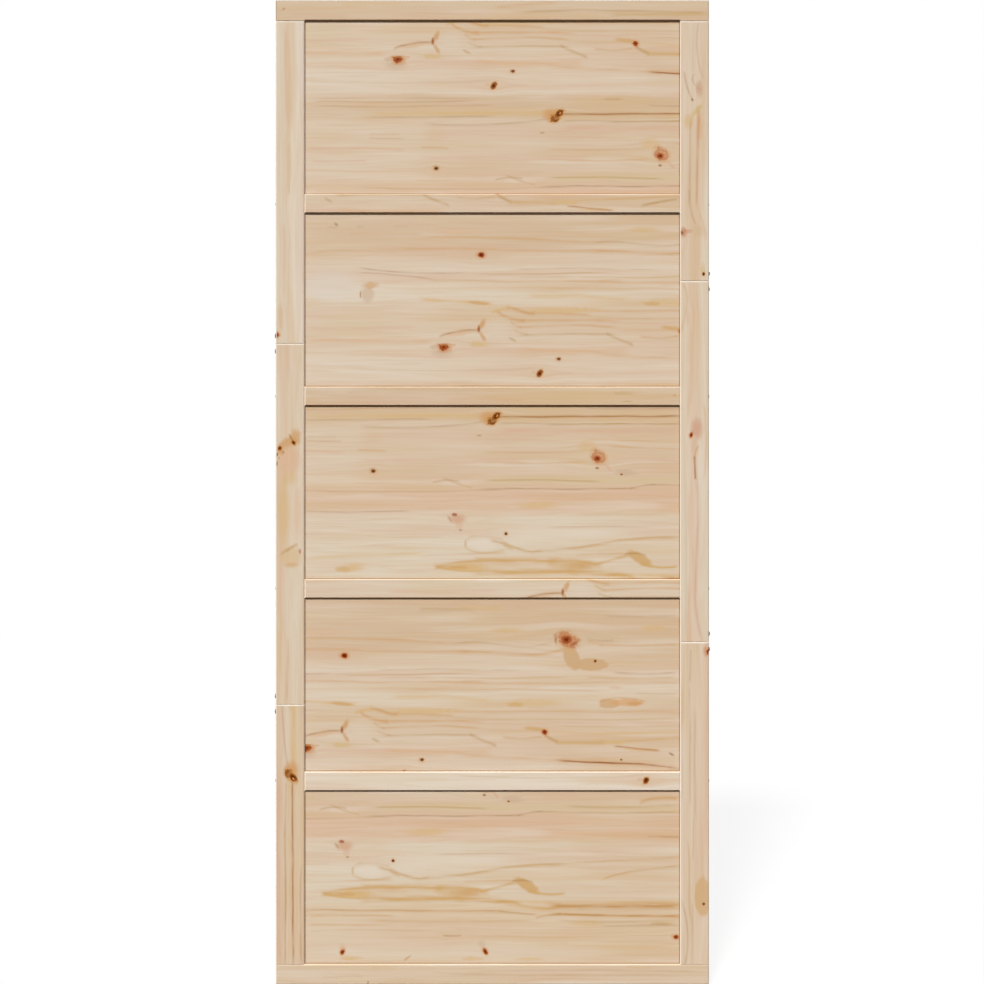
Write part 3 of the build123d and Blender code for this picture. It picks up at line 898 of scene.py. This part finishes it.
right_middle_marks = [
    line((590, -23), (611, -16), (648, -19), (688, -28), above=2, below=2.6, tint=AMBER, strength=0.45),
    blot((657, -14), 56, 13, tint=BLUSH, strength=0.4),
    line((690, -6), (760, -6), (840, -7), above=3, below=3, tint=BLUSH, strength=0.45),
    blot((890, 5), 60, 34, tint=srgb(205, 159, 132), strength=0.8, soft=0.7),
    blot((925, 0), 60, 18, tint=srgb(212, 172, 146), strength=0.45),
    line((926, 8), (941, 2), (954, 0), above=2.2, below=2.2, tint=AMBER, strength=0.65),
    line((948, 0), (994, 2), above=2, below=2, tint=srgb(166, 92, 46), strength=1.0),
    line((845, 19), (914, 24), (991, 21), above=2.4, below=2.4, tint=AMBER, strength=0.42),
    line((998, 4), (1112, 6), (1178, 2), (1326, 14),
         above=3.2, below=3.2, tint=srgb(206, 160, 136), strength=0.6),
    line((1000, -18), (1320, -16), above=1.6, tint=DUN, strength=0.22),
    knot((903, -7), 10, 6.5, RED_KNOT, tilt=-15),
]
right_middle_tone = [(-30, CREAM), (-15, CREAM), (-8, ROSE), (4, SHELL), (20, CREAM), (30, SHELL)]
right_lower_marks = [
    line((1350, -9), (1415, -9), above=1.8, below=1.8, tint=DUN, strength=0.35),
    line((1434, -25), (1662, -25), above=1.6, below=1.6, tint=UMBER, strength=0.28),
    line((1434, -9), (1662, -10), above=1.8, below=1.8, tint=UMBER, strength=0.32),
    line((1480, 1), (1690, 1), above=1.6, below=2.4, tint=UMBER, strength=0.25),
    line((1700, -2), (1780, -3), above=1.6, below=1.6, tint=DUN, strength=0.25),
    line((1746, -16), (1800, -11), (1858, -11), (1906, -8), above=1.8, below=1.8, strength=0.42),
    line((1870, -27), (1916, -16), (2001, -20), above=2, below=2, tint=UMBER, strength=0.36),
    line((1880, -5), (1998, -5), above=2, below=2, strength=0.42),
    blot((1352, 23), 28, 15, tint=srgb(206, 148, 118), strength=0.75),
    knot((1353, 29), 12, 10, RED_KNOT),
    blot((1862, 17), 92, 38, tint=srgb(206, 168, 118), strength=0.8, soft=0.25),
    knot((1877, 18.5), 6, 6, PIN_KNOT, bend=False),
]
right_lower_tone = [(-30, SHELL), (-12, TAN), (10, SHELL), (30, ROSE)]

# On a rail the first number is measured to the right of the leaf's middle and the second up from its own.
top_marks = [
    blot((-433, 3), 11, 6, tilt=30, tint=DUN, strength=0.6),
    line((-310, 15), (-190, 14), above=4, below=4, tint=HONEY, strength=0.45),
    line((-420, -9), (-300, -9), above=4, below=4, tint=BLUSH, strength=0.3),
    line((-170, -6), (-20, -8), above=2, tint=AMBER, strength=0.2),
    line((10, 6), (60, 11), (130, 17), above=3, below=5, tint=AMBER, strength=0.35),
    line((60, -3), (240, 0), (440, -5), above=2, below=4, tint=OLIVE, strength=0.55),
    line((250, -9), (440, -8), above=4, below=4, tint=srgb(200, 168, 112), strength=0.7),
    line((0, -10), (230, -12), above=4, below=4, tint=HONEY, strength=0.4),
]
top_tone = [(-22, WHEAT), (22, TAN)]
bottom_marks = [
    line((-15, 8), (200, 9), (450, 6), above=1.6, strength=0.35),
    line((-60, 0), (220, -1), (450, 0), above=1.6, strength=0.38),
    line((60, -11), (260, -10), (450, -12), above=1.8, tint=AMBER, strength=0.35),
    line((-250, 16), (-200, 15), above=3, tint=HONEY, strength=0.45),
    line((280, 15), (330, 15), above=3, tint=HONEY, strength=0.45),
    line((-350, -5), (-270, -5), above=1.4, strength=0.3),
    blot((-258, -17), 5, 14, tint=DUN, strength=0.7),
]
bottom_tone = [(-22, TAN), (22, TAN)]
second_rail_marks = [
    blot((150, 0), 620, 70, tint=HONEY, strength=0.4, soft=1.0),
    blot((270, 6), 70, 10, tint=OLIVE, strength=0.3),
    blot((280, -11), 36, 6, tint=OLIVE, strength=0.35),
    line((-90, -7), (60, -9), above=2, tint=AMBER, strength=0.25),
    line((-300, 8), (-240, 10), above=2, strength=0.22),
    blot((378, 2), 9, 8, tint=AMBER, strength=0.7),
]
second_rail_tone = [(-20, WHEAT), (20, WHEAT)]
third_rail_tone = [(120, SHELL), (170, CREAM)]
fourth_rail_tone = [(20, MILK), (70, MILK)]

TONGUE = 9.0  # of a panel's edge or a stile's head, hidden in the frame's groove
HEAD_LINE = 4.4  # breadth of the painted highlight along a stile's head
STILE_HEAD_LIGHT = 1.0  # how strong the painted highlight is on a stile's arrises that face up


def box_mm(name):
    return (corner * TO_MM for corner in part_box(name))


def rail_middle(name):
    """Shift of a figure that is measured from a rail's own middle."""
    low, high = box_mm(name)
    return (0, -(low.z + high.z) / 2)


def stile_middle(name):
    """Shift of a figure that is measured down from the leaf's top and across from a stile's middle."""
    low, high = box_mm(name)
    return (0, -(low.x + high.x) / 2)


def own_stile(name, seed, tone, marks):
    return Board("z", stile_middle(name), seed, tone, marks, upper=STILE_HEAD_LIGHT)


boards = {
    "panel_1": Board("x", (0, 222.5), marks=sheet_marks),
    "panel_2": Board("x", (-95.6, 821), marks=sheet_marks),
    "panel_3": Board("x", (130.9, 852), marks=sheet_marks),
    "panel_4": Board("x", (189, 1654.5), marks=sheet_marks),
    "panel_5": Board("x", (365.7, 1532), marks=sheet_marks),
    "cross_rail_1": Board("x", (286.8, 532), marks=sheet_marks),
    "cross_rail_2": Board("x", rail_middle("cross_rail_2"), 3.0, second_rail_tone, second_rail_marks),
    "cross_rail_3": Board("x", (-270, 1367.6), tone=third_rail_tone, marks=sheet_marks),
    "cross_rail_4": Board("x", (-316, 1666.8), tone=fourth_rail_tone, marks=sheet_marks),
    # the top rail's arrises get a darker painted shade in place of the painted highlight
    "top_rail": Board("x", rail_middle("top_rail"), 5.0, top_tone, top_marks, upper=1.0, arris_shading=TOP_ARRIS_SHADE),
    "bottom_rail": Board("x", rail_middle("bottom_rail"), 7.0, bottom_tone, bottom_marks),
    "left_stile_lower": Board("z", (-1476, 402), 0.0, left_lower_tone, sheet_marks, upper=STILE_HEAD_LIGHT),
}
for name, seed, tone, marks in (
    ("left_stile_upper", 9.0, left_upper_tone, left_upper_marks),
    ("left_stile_middle", 11.0, left_middle_tone, left_middle_marks),
    ("right_stile_upper", 13.0, right_upper_tone, right_upper_marks),
    ("right_stile_middle", 15.0, right_middle_tone, right_middle_marks),
    ("right_stile_lower", 17.0, right_lower_tone, right_lower_marks),
):
    boards[name] = own_stile(name, seed, tone, marks)


def figure_window(name, board):
    """The stretch of the figure that a board shows, in the marks' millimetres."""
    low, high = box_mm(name)
    along, across = board.shift
    if board.grain == "x":
        return (low.x + along, high.x + along, low.z + across, high.z + across)
    return (along - high.z, along - low.z, low.x + across, high.x + across)


def shows(mark, window):
    left, right, low, high = mark["box"]
    return left < window[1] and right > window[0] and low < window[3] and high > window[2]


def pale_head(name, window):
    """A painted highlight along a stile's head, which sits on the shoulder below its tongue if it has one.
    """
    shoulder = window[0] + (TONGUE if name.endswith("upper") else 0.0)
    middle = (window[2] + window[3]) / 2
    beyond_width = 2 * (window[3] - window[2])
    at = (shoulder + HEAD_LINE / 2, middle)
    return blot(at, HEAD_LINE, beyond_width, tint=ARRIS_HIGHLIGHT, strength=0.65, soft=0.5)


def tone_ramp(bench, across, stops):
    low, high = stops[0][0], stops[-1][0]
    where = bench.calc("DIVIDE", bench.calc("SUBTRACT", across, low), high - low)
    node = bench.place("ShaderNodeValToRGB")
    ramp = node.color_ramp
    while len(ramp.elements) < len(stops):
        ramp.elements.new(1.0)
    for element, (level, tint) in zip(ramp.elements, stops):
        element.position = (level - low) / (high - low)
        element.color = tint
    bench.feed(node.inputs[0], where)
    return node.outputs[0]


GRAIN_SWAY = 6.0  # millimetres between the extremes of the grain's sway
TONE_SWAY = 22.0  # and of the sway of a zone's edge


def draw_marks(bench, colour, marks, place, swayed):
    """Draws the marks over a colour, and gives the uneven value that their rims follow too."""
    patch = bench.span(bench.grained(place, along=70, across=7, shift=43), 0.28, 0.62, 0.45, 1.1)
    ragged = bench.calc("SUBTRACT", bench.grained(place, along=11, across=9, shift=37, detail=1.5), 0.5)
    flecks = bench.grained(place, along=4.6, across=4, shift=41, roughness=0.6)
    speckle = bench.calc("SUBTRACT", flecks, 0.5)
    along, across = place["Along"], place["Across"]
    groups = {
        "line": (pine_streak, dict(Along=along, Across=swayed, Patch=patch)),
        "blot": (pine_blot, dict(Along=along, Across=across, Ragged=ragged)),
        "knot": (pine_knot, dict(Along=along, Across=across, Ragged=ragged, Speckle=speckle)),
    }
    for mark in marks:
        group, where = groups[mark["kind"]]
        colour = bench.group(group, Colour=colour, **where, **mark["values"])
    return colour, ragged


def pine_material(name, board):
    material, bench = new_material(f"pine {name.replace('_', ' ')}")
    (x, y, z), normal = bench.object_place()
    if board.grain == "x":
        along = bench.calc("ADD", x, board.shift[0])
        across = bench.calc("ADD", z, board.shift[1])
    else:
        along = bench.calc("SUBTRACT", board.shift[0], z)
        across = bench.calc("ADD", x, board.shift[1])
    place = {"Along": along, "Across": across, "Depth": y, "Seed": board.seed}
    window = figure_window(name, board)
    marks = [mark for mark in board.marks if shows(mark, window)]
    if board.grain == "z":
        marks.append(pale_head(name, window))

    sway = bench.calc("SUBTRACT", bench.grained(place, along=120, across=40, shift=31), 0.5)
    swayed = bench.calc("MULTIPLY_ADD", sway, GRAIN_SWAY, across)
    bent = swayed
    for mark in marks:
        if mark["kind"] == "knot" and mark["bend"]:
            bent = bench.group(knot_bend, Along=along, Across=across, Bent=bent, **mark["bend"])
    fibre = bench.grained(place, along=40, across=0.9, shift=29)
    tone = tone_ramp(bench, bench.calc("MULTIPLY_ADD", sway, TONE_SWAY, across), board.tone)
    if board.tone is sheet_tone:
        tone = bench.stain(tone, bench.span(along, *sheet_paler_end, 1.0, 0.0), strength=0.25, tint=PALE)
        tone = bench.stain(tone, bench.span(along, *sheet_darker_end), strength=0.3, tint=TRAIL)
    colour = bench.group(pine_grain, Tone=tone, Fibre=fibre, **{**place, "Across": bent})
    colour, ragged = draw_marks(bench, colour, marks, place, swayed)
    facing = bench.calc("ABSOLUTE", bench.split(normal)[board.grain.upper()])
    colour = bench.group(end_grain, Colour=colour, Facing=facing, **place)
    # painted highlight and painted shade on the arrises
    colour = bench.group(
        eased_edge, Colour=colour, Normal=normal, Ragged=ragged, Upper=board.upper, Rubbed=board.arris_shading
    )
    if name.startswith("panel"):
        low, high = box_mm(name)
        colour = bench.group(
            rim_shade, Colour=colour, X=x, Z=bench.calc("SUBTRACT", z, (low.z + high.z) / 2),
            Half_Width=(high.x - low.x) / 2 - TONGUE, Half_Height=(high.z - low.z) / 2 - TONGUE,
        )

    planed = bench.bump(fibre, strength=0.12, distance=0.4 * MM)
    shader = bench.place("ShaderNodeBsdfPrincipled")
    bench.fill(shader, dict(
        Base_Color=colour, Roughness=bench.span(fibre, 0.25, 0.75, 0.64, 0.56), Specular_IOR_Level=0.1,
        Normal=planed,
    ))
    bench.finish(shader)
    return material


BRUSHING = (1.0, 5.0, 0.15)  # scratches to a millimetre along X, Y and Z
CLOUDING = (0.2, 0.2, 0.2)


def brushed_metal(name, darker, paler):
    """Metal brushed along the leaf's edge, with a little cloudiness."""
    material, bench = new_material(name)
    parts = bench.object_place()[0]
    brushed = bench.noise(bench.scaled(parts, BRUSHING), detail=3.0)
    cloud = bench.noise(bench.scaled(parts, CLOUDING))
    colour = bench.blend(cloud, darker, paler)
    colour = bench.shade(colour, bench.calc("MULTIPLY_ADD", brushed, 0.2, 0.9))
    scratched = bench.bump(brushed, strength=0.1, distance=0.2 * MM)
    shader = bench.place("ShaderNodeBsdfPrincipled")
    bench.fill(shader, dict(
        Base_Color=colour, Metallic=1.0, Roughness=bench.span(brushed, 0.2, 0.8, 0.28, 0.45),
        Normal=scratched,
    ))
    bench.finish(shader)
    return material


zinc = brushed_metal("zinc plate", srgb(186, 188, 192), srgb(214, 215, 218))
steel = brushed_metal("screw steel", srgb(66, 67, 69), srgb(92, 93, 96))
for name, board in boards.items():
    nodes[name].material_slots[0].material = pine_material(name, board)
for name, node in nodes.items():
    if name.startswith("joining_plate"):
        node.material_slots[0].material = zinc


def mesh_from(bm, name):
    mesh = bpy.data.meshes.new(name)
    bm.to_mesh(mesh)
    bm.free()
    return mesh


def link_object(name, data):
    made = bpy.data.objects.new(name, data)
    bpy.context.scene.collection.objects.link(made)
    return made


# Screws

SCREW_SIDES = 36
CROWN_STEPS = 8  # from a head's edge to its middle
CROWN_FLAT = 0.42  # flat part of a head, as a share of its radius
CROWN_PEAK = 1.02  # its middle, as a share of its rise
EDGE_UPRIGHT = 0.22  # upright part of its edge, as a share of its rise
SEAT_RADIUS = 0.97  # its underside, as a share of its radius
RECESS_LENGTH = 1.1  # a recess at its mouth, as shares of the head's radius
RECESS_WIDTH = 0.24
RECESS_MOUTH = 1.3  # height of its mouth, as a share of the head's rise
RECESS_NARROW = 0.55  # a recess at its floor, as a share of its mouth
SHARP_FOLD = 35  # degrees from which an edge of a screw stays sharp


def turned_mesh(bm, profile, sides):
    """Turns a profile of (radius, height) round the local Z axis, closed at both ends on the axis."""
    rings = []
    for radius, height in profile:
        if radius == 0:
            rings.append([bm.verts.new((0, 0, height))])
            continue
        ring = []
        for side in range(sides):
            angle = 2 * math.pi * side / sides
            ring.append(bm.verts.new((radius * math.cos(angle), radius * math.sin(angle), height)))
        rings.append(ring)
    for lower, upper in zip(rings, rings[1:]):
        for side in range(sides):
            corners = [lower[side % len(lower)], lower[(side + 1) % len(lower)],
                       upper[(side + 1) % len(upper)], upper[side % len(upper)]]
            bm.faces.new(list(dict.fromkeys(corners)))


def recess_blade(name, length, width, top, depth):
    """One blade of a cross recess: a slot that narrows towards its floor."""
    bm = bmesh.new()
    bmesh.ops.create_cube(bm, size=1.0)
    for vert in bm.verts:
        narrow = 1.0 if vert.co.z > 0 else RECESS_NARROW
        vert.co.x *= length * narrow
        vert.co.y *= width * narrow
        vert.co.z = top if vert.co.z > 0 else top - depth
    return link_object(name, mesh_from(bm, name))


def screw_mesh(name, radius, rise, shank_radius, shank_length):
    """A pan-headed screw with a cross recess. Its seat is at height 0 and it drives down local -Z."""
    bm = bmesh.new()
    point = (0, -shank_length - shank_radius)
    profile = [point, (shank_radius, -shank_length), (shank_radius, 0), (radius * SEAT_RADIUS, 0)]
    for step in range(CROWN_STEPS + 1):
        angle = math.radians(90 * step / CROWN_STEPS)
        across = CROWN_FLAT + (1 - CROWN_FLAT) * math.cos(angle)
        up = EDGE_UPRIGHT + (1 - EDGE_UPRIGHT) * math.sin(angle)
        profile.append((radius * across, rise * up))
    profile.append((0, rise * CROWN_PEAK))
    turned_mesh(bm, profile, SCREW_SIDES)
    bmesh.ops.recalc_face_normals(bm, faces=bm.faces)
    head = link_object(name, mesh_from(bm, name))
    blades = []
    for turn in (0, 90):
        blade = recess_blade(
            f"{name}_blade_{turn}", length=RECESS_LENGTH * radius, width=RECESS_WIDTH * radius,
            top=RECESS_MOUTH * rise, depth=rise,
        )
        blade.rotation_euler.z = math.radians(turn)
        cut = head.modifiers.new(f"recess {turn}", "BOOLEAN")
        cut.operation = "DIFFERENCE"
        cut.solver = "EXACT"
        cut.object = blade
        blades.append(blade)
    bpy.context.view_layer.update()
    shaped = bpy.data.meshes.new_from_object(head.evaluated_get(bpy.context.evaluated_depsgraph_get()))
    for extra in (head, *blades):
        bpy.data.objects.remove(extra)
    return shaped


def screw_row(name, mesh, seats):
    """One piece of like screws. Each seat is a point, the way out of the wood, and a turn in degrees."""
    bm = bmesh.new()
    for point, way, turn in seats:
        face = Vector(way).to_track_quat("Z", "Y").to_matrix().to_4x4()
        copy = mesh.copy()
        copy.transform(Matrix.Translation(point) @ face @ Matrix.Rotation(math.radians(turn), 4, "Z"))
        bm.from_mesh(copy)
        bpy.data.meshes.remove(copy)
    made = mesh_from(bm, name)
    made.materials.clear()
    made.materials.append(steel)
    made.shade_smooth()
    made.set_sharp_from_angle(angle=math.radians(SHARP_FOLD))
    row = link_object(name, made)
    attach(row, "root")


SHANK_LENGTH = 16 * MM
PLATE_HOLE_OFFSET = 16 * MM  # from a plate's middle to each of its two holes
CROSS_RAILS = 4
PLATE_TURN = 25  # degrees that the first plate screw stopped at, and each next one further
PLATE_TURN_STEP = 10
RAIL_TURN = 17  # and the same for the rail screws, from the top down
RAIL_TURN_STEP = 40
plate_screw = screw_mesh(
    "plate_screw", radius=5.2 * MM, rise=2.8 * MM, shank_radius=2.0 * MM, shank_length=SHANK_LENGTH
)
rail_screw = screw_mesh(
    "rail_screw", radius=4.2 * MM, rise=1.6 * MM, shank_radius=1.8 * MM, shank_length=SHANK_LENGTH
)

plate_seats = []
rail_seats = []
for side_name, side, edge in (("left", -1, leaf_low.x), ("right", 1, leaf_high.x)):
    for place in ("upper", "lower"):
        plate_low, plate_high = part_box(f"joining_plate_{side_name}_{place}")
        joint = (plate_low.z + plate_high.z) / 2
        for offset in (-PLATE_HOLE_OFFSET, PLATE_HOLE_OFFSET):
            turn = PLATE_TURN + PLATE_TURN_STEP * len(plate_seats)
            plate_seats.append(((edge, 0, joint + offset), (side, 0, 0), turn))
    for index in range(1, CROSS_RAILS + 1):
        rail_low, rail_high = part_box(f"cross_rail_{index}")
        height = (rail_low.z + rail_high.z) / 2
        rail_seats.append(((edge, 0, height), (side, 0, 0), RAIL_TURN + RAIL_TURN_STEP * index))
screw_row("plate_screws", plate_screw, plate_seats)
screw_row("rail_screws", rail_screw, rail_seats)


# Studio

FLOOR_GAP = 10 * MM
FLOOR_SIZE = 12.0
FLOOR_LOOK = 0.72  # the floor's grey where the camera sees it
FLOOR_BOUNCE = 0.16  # and its grey for the light that it throws back
FLOOR_WHITE = 0.88  # share of plain white in what the camera sees, the rest takes the shadow
CAMERA_DISTANCE = 2.564
SENSOR_WIDTH = 36.0
FRAME_CROP = 1.6 * MM  # of the leaf's height that falls outside the frame
CAMERA_ASIDE = -0.7 * MM
CAMERA_RAISED = 0.9 * MM


def make_floor():
    """A plain pale floor below the hanging leaf. It shows white to the camera and keeps a soft shadow."""
    bm = bmesh.new()
    bmesh.ops.create_grid(bm, x_segments=1, y_segments=1, size=FLOOR_SIZE / 2)
    mesh = mesh_from(bm, "floor")
    floor = link_object("floor", mesh)
    floor.location.z = leaf_low.z - FLOOR_GAP
    material, bench = new_material("pale floor")
    seen = bench.seen()
    diffuse = bench.place("ShaderNodeBsdfDiffuse")
    bench.feed(diffuse.inputs["Color"], bench.blend(seen, grey(FLOOR_BOUNCE), grey(FLOOR_LOOK)))
    white = bench.place("ShaderNodeEmission")
    bench.feed(white.inputs["Strength"], 1.0)
    mix = bench.place("ShaderNodeMixShader")
    bench.feed(mix.inputs[0], bench.calc("MULTIPLY", seen, FLOOR_WHITE))
    bench.feed(mix.inputs[1], diffuse.outputs[0])
    bench.feed(mix.inputs[2], white.outputs[0])
    bench.finish(mix)
    mesh.materials.append(material)


def make_world(fill):
    """Soft white light from all round, and white where the camera looks past the leaf."""
    world = bpy.data.worlds.new("studio")
    bpy.context.scene.world = world
    world.use_nodes = True
    world.node_tree.nodes.clear()
    bench = Bench(world.node_tree)
    strength = bench.span(bench.seen(), 0.0, 1.0, fill, 1.0)
    background = bench.place("ShaderNodeBackground")
    bench.fill(background, dict(Color=WHITE, Strength=strength))
    bench.finish(background, "ShaderNodeOutputWorld")


def make_sun(name, azimuth, elevation, strength, spread):
    """A large soft lamp far off. Azimuth is degrees round to the left of the leaf's front."""
    lamp = bpy.data.lights.new(name, "SUN")
    lamp.energy = strength
    lamp.angle = math.radians(spread)
    sun = link_object(name, lamp)
    turn, climb = math.radians(azimuth), math.radians(elevation)
    level = math.cos(climb)
    towards = Vector((-math.sin(turn) * level, -math.cos(turn) * level, math.sin(climb)))
    sun.rotation_euler = towards.to_track_quat("Z", "Y").to_euler()


def make_camera():
    """Level with the middle of the leaf and square to it, with the leaf's height just filling the frame."""
    lens = bpy.data.cameras.new("camera")
    camera = link_object("camera", lens)
    height = leaf_high.z - leaf_low.z
    middle = (leaf_low.z + leaf_high.z) / 2
    lens.sensor_width = SENSOR_WIDTH
    lens.lens = SENSOR_WIDTH * CAMERA_DISTANCE / (height - FRAME_CROP)
    camera.location = (CAMERA_ASIDE, leaf_low.y - CAMERA_DISTANCE, middle + CAMERA_RAISED)
    camera.rotation_euler = (math.radians(90), 0, 0)
    bpy.context.scene.camera = camera


make_floor()
make_world(fill=0.12)
make_sun("key lamp", azimuth=18, elevation=50, strength=4.22, spread=8)
make_sun("back lamp", azimuth=205, elevation=20, strength=2.4, spread=20)
make_camera()
bpy.context.scene.view_settings.view_transform = "Standard"
